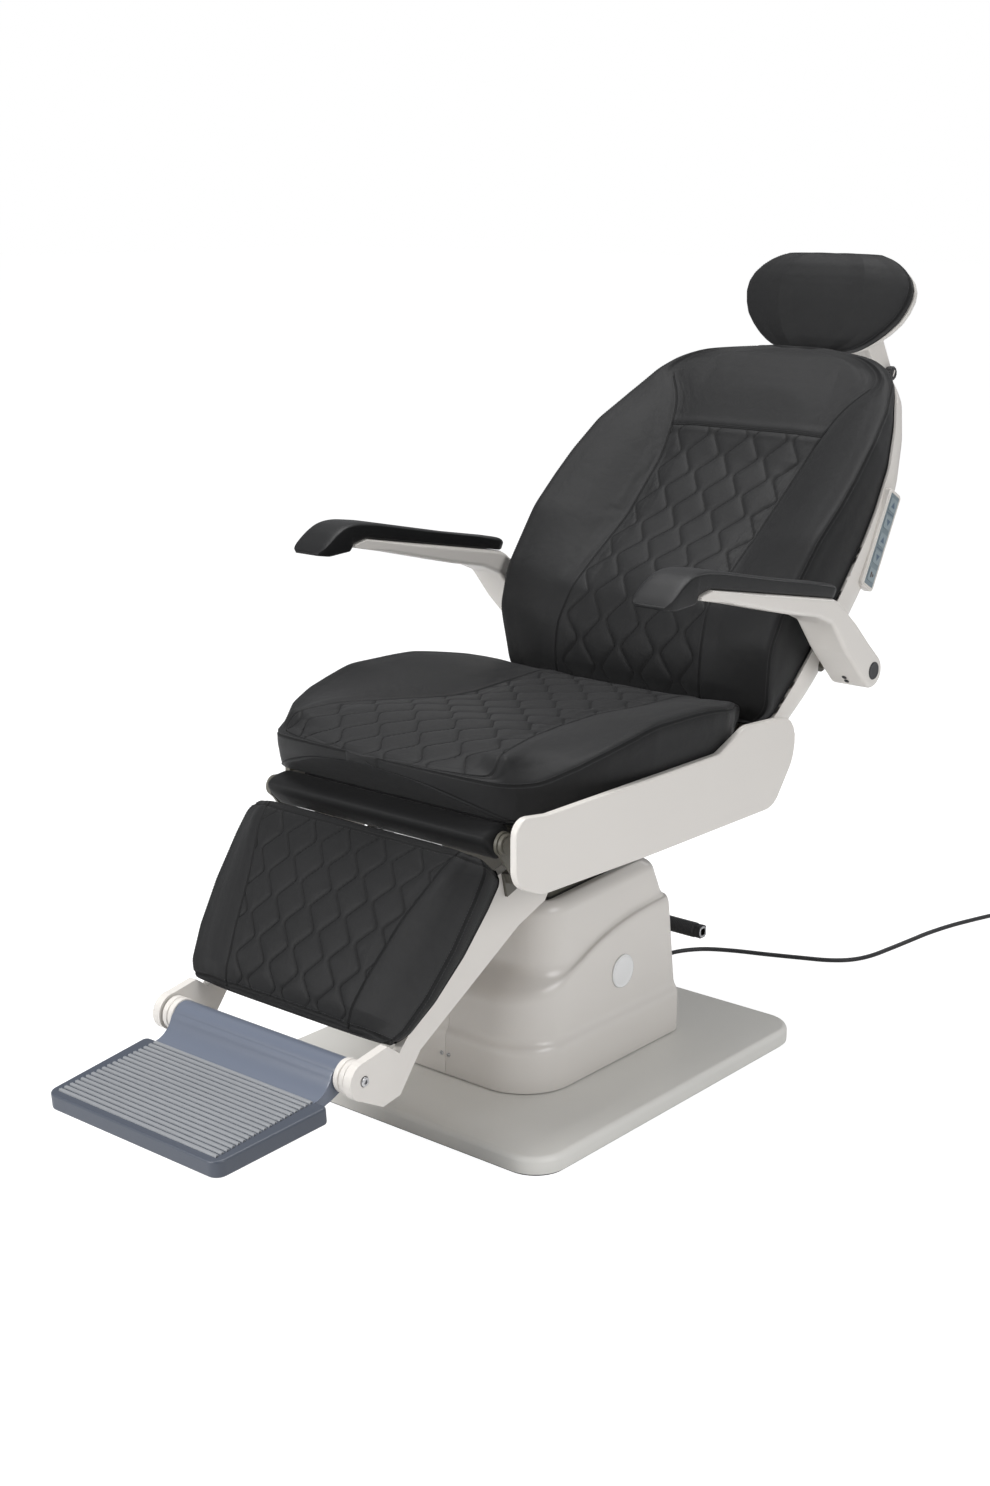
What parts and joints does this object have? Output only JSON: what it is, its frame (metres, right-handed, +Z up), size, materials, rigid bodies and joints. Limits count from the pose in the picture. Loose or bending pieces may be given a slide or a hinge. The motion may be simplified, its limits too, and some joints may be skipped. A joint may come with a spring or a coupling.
{
  "type": "ophthalmic examination chair",
  "caption": "Powered examination chair with a lifting and swivelling seat, reclining quilted back, leg rest, footplate, headrest and folding armrests.",
  "frame": {"origin": "centre of the base plate's footprint on the floor", "axes": "+Z up, the patient faces -Y, +X is the patient's left, on the side of the control panel"},
  "size_m": [0.748, 2.2059, 1.2707],
  "materials": {
    "cover_shell": "satin",
    "arm_skin": "matte",
    "base_paint": "satin",
    "black_rubber": "matte",
    "steel": "brushed",
    "dark_plastic": "matte",
    "frame_paint": "satin",
    "board_wood": "matte",
    "upholstery": "satin",
    "foot_paint": "satin",
    "membrane": "satin",
    "key_plastic": "satin"
  },
  "bodies": {
    "base": {"base_mat": "black_rubber", "base_plate": "base_paint", "outer_column": "steel", "guide_pads": "dark_plastic", "lift_actuator": "steel", "cover_left": "cover_shell", "cover_right": "cover_shell", "cover_trim": "steel", "rim_seal": "black_rubber", "control_box": "dark_plastic", "cord_gland": "black_rubber", "power_cord": "black_rubber", "cord_coil": "black_rubber", "power_plug": "black_rubber", "lever_bracket": "frame_paint"},
    "lift": {"inner_column": "steel", "lift_rod": "steel", "lift_cover": "frame_paint", "bearing_ring": "steel"},
    "seat": {"swivel_hub": "steel", "seat_frame": "frame_paint", "seat_board": "board_wood", "seat_cushion": "upholstery", "side_plate_left": "cover_shell", "side_plate_right": "cover_shell", "hinge_tube": "steel", "knee_roll": "upholstery", "recline_motor": "dark_plastic", "leg_motor": "dark_plastic"},
    "back_drive": {"recline_rod": "steel"},
    "leg_drive": {"leg_rod": "steel"},
    "leg": {"leg_arm_left": "cover_shell", "leg_arm_right": "cover_shell", "leg_tube": "steel", "leg_board": "board_wood", "leg_cushion": "upholstery", "leg_brackets": "frame_paint"},
    "foot": {"foot_hubs": "cover_shell", "footplate": "foot_paint"},
    "back": {"back_frame": "frame_paint", "back_board": "board_wood", "back_cushion": "upholstery", "back_shell": "cover_shell", "panel_bezel": "cover_shell", "panel_membrane": "membrane"},
    "key_1": {"key_back_up": "key_plastic"},
    "key_2": {"key_back_down": "key_plastic"},
    "key_3": {"key_seat_up": "key_plastic"},
    "key_4": {"key_seat_down": "key_plastic"},
    "key_5": {"key_reset": "key_plastic"},
    "head_post": {"headrest_post": "steel"},
    "head": {"headrest_shell": "cover_shell", "headrest_cushion": "upholstery"},
    "head_clamp": {"headrest_knob": "dark_plastic"},
    "arm_left": {"armrest_left": "cover_shell", "arm_pad_left": "arm_skin"},
    "arm_right": {"armrest_right": "cover_shell", "arm_pad_right": "arm_skin"},
    "foot_lever": {"lever_arm": "steel", "lever_grips": "black_rubber"}
  },
  "joints": [
    {"name": "seat_lift", "type": "slide", "parent": "base", "child": "lift", "axis": [0, 0, 1], "range_m": [0, 0.2]},
    {"name": "swivel", "type": "hinge", "parent": "lift", "child": "seat", "pos_m": [0, -0.026, 0.412], "axis": [0, 0, 1], "range_deg": [-170, 170]},
    {"name": "recline", "type": "hinge", "parent": "seat", "child": "back", "pos_m": [0, 0.2, 0.528], "axis": [-1, 0, 0], "range_deg": [-20, 40]},
    {"name": "recline_drive", "type": "slide", "parent": "seat", "child": "back_drive", "axis": [0, 1, 0], "range_m": [-0.049, 0.0245]},
    {"name": "leg_raise", "type": "hinge", "parent": "seat", "child": "leg", "pos_m": [0, -0.345, 0.5], "axis": [-1, 0, 0], "range_deg": [-15, 30]},
    {"name": "leg_drive_slide", "type": "slide", "parent": "seat", "child": "leg_drive", "axis": [0, 1, 0], "range_m": [-0.0285, 0.0142]},
    {"name": "footrest_fold", "type": "hinge", "parent": "leg", "child": "foot", "pos_m": [0, -0.60596, 0.22103], "axis": [-1, 0, 0], "range_deg": [0, 80]},
    {"name": "armrest_left_lift", "type": "hinge", "parent": "back", "child": "arm_left", "pos_m": [0, 0.41185, 0.63578], "axis": [-1, 0, 0], "range_deg": [0, 90]},
    {"name": "armrest_right_lift", "type": "hinge", "parent": "back", "child": "arm_right", "pos_m": [0, 0.41185, 0.63578], "axis": [-1, 0, 0], "range_deg": [0, 90]},
    {"name": "headrest_height", "type": "slide", "parent": "back", "child": "head_post", "axis": [0, 0.6286, 0.7777], "range_m": [0, 0.08]},
    {"name": "headrest_tilt", "type": "hinge", "parent": "head_post", "child": "head", "pos_m": [0, 0.90517, 1.05995], "axis": [-1, 0, 0], "range_deg": [-23, 15]},
    {"name": "headrest_clamp", "type": "hinge", "parent": "head_post", "child": "head_clamp", "pos_m": [0, 0.90517, 1.05995], "axis": [1, 0, 0], "range_deg": [0, 180]},
    {"name": "key_back_up_press", "type": "slide", "parent": "back", "child": "key_1", "axis": [-1, 0, 0], "range_m": [0, 0.0012], "stiffness_N_per_m": 600, "springref_m": -0.001},
    {"name": "key_back_down_press", "type": "slide", "parent": "back", "child": "key_2", "axis": [-1, 0, 0], "range_m": [0, 0.0012], "stiffness_N_per_m": 600, "springref_m": -0.001},
    {"name": "key_seat_up_press", "type": "slide", "parent": "back", "child": "key_3", "axis": [-1, 0, 0], "range_m": [0, 0.0012], "stiffness_N_per_m": 600, "springref_m": -0.001},
    {"name": "key_seat_down_press", "type": "slide", "parent": "back", "child": "key_4", "axis": [-1, 0, 0], "range_m": [0, 0.0012], "stiffness_N_per_m": 600, "springref_m": -0.001},
    {"name": "key_reset_press", "type": "slide", "parent": "back", "child": "key_5", "axis": [-1, 0, 0], "range_m": [0, 0.0012], "stiffness_N_per_m": 600, "springref_m": -0.001},
    {"name": "foot_lever_press", "type": "hinge", "parent": "base", "child": "foot_lever", "pos_m": [0, 0.228, 0.075], "axis": [-1, 0, 0], "range_deg": [0, 8], "stiffness_Nm_per_rad": 12, "springref_deg": -20.05}
  ],
  "couplings": [
    {"joint": "leg_raise", "follows": "recline", "ratio": 0.75},
    {"joint": "recline_drive", "follows": "recline", "m_per_rad": -0.0695},
    {"joint": "leg_drive_slide", "follows": "recline", "m_per_rad": -0.040125}
  ]
}
